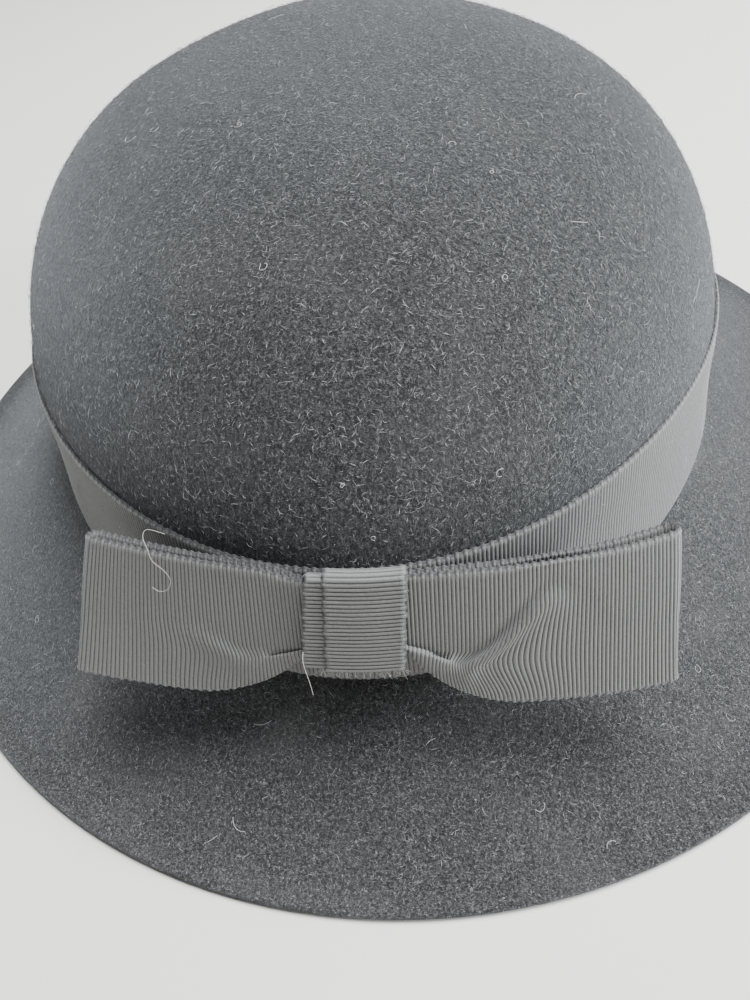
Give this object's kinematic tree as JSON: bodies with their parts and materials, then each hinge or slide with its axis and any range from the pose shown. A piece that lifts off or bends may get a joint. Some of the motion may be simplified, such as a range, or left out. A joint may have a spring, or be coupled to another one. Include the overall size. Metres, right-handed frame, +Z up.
{
  "type": "felt hat",
  "caption": "Round-crowned fur felt hat with a downturned brim, a ribbed ribbon band and a flat ribbon bow at the front, with a head ribbon and lining inside.",
  "frame": {"origin": "centre of the rim, on the plane that the brim lies on", "axes": "+Z up from the brim to the top of the crown; the wearer faces -Y, the side the bow is on; +X is the wearer's left when looking out along -Y, and the viewer's right when facing the bow"},
  "size_m": [0.277, 0.277, 0.111],
  "materials": {
    "felt": "matt brushed fur felt",
    "ribbon": "ribbed grosgrain with a slight sheen",
    "head_ribbon": "ribbed petersham ribbon, matt",
    "lining": "satin",
    "thread": "matt sewing thread"
  },
  "bodies": {
    "root": {"felt_body": "felt", "hatband": "ribbon", "hatband_tacks": "thread", "bow_loops": "ribbon", "bow_knot": "ribbon", "bow_stitches": "thread", "sweatband": "head_ribbon", "sweatband_stitches": "thread", "lining_side": "lining", "lining_tip": "lining"}
  },
  "joints": []
}
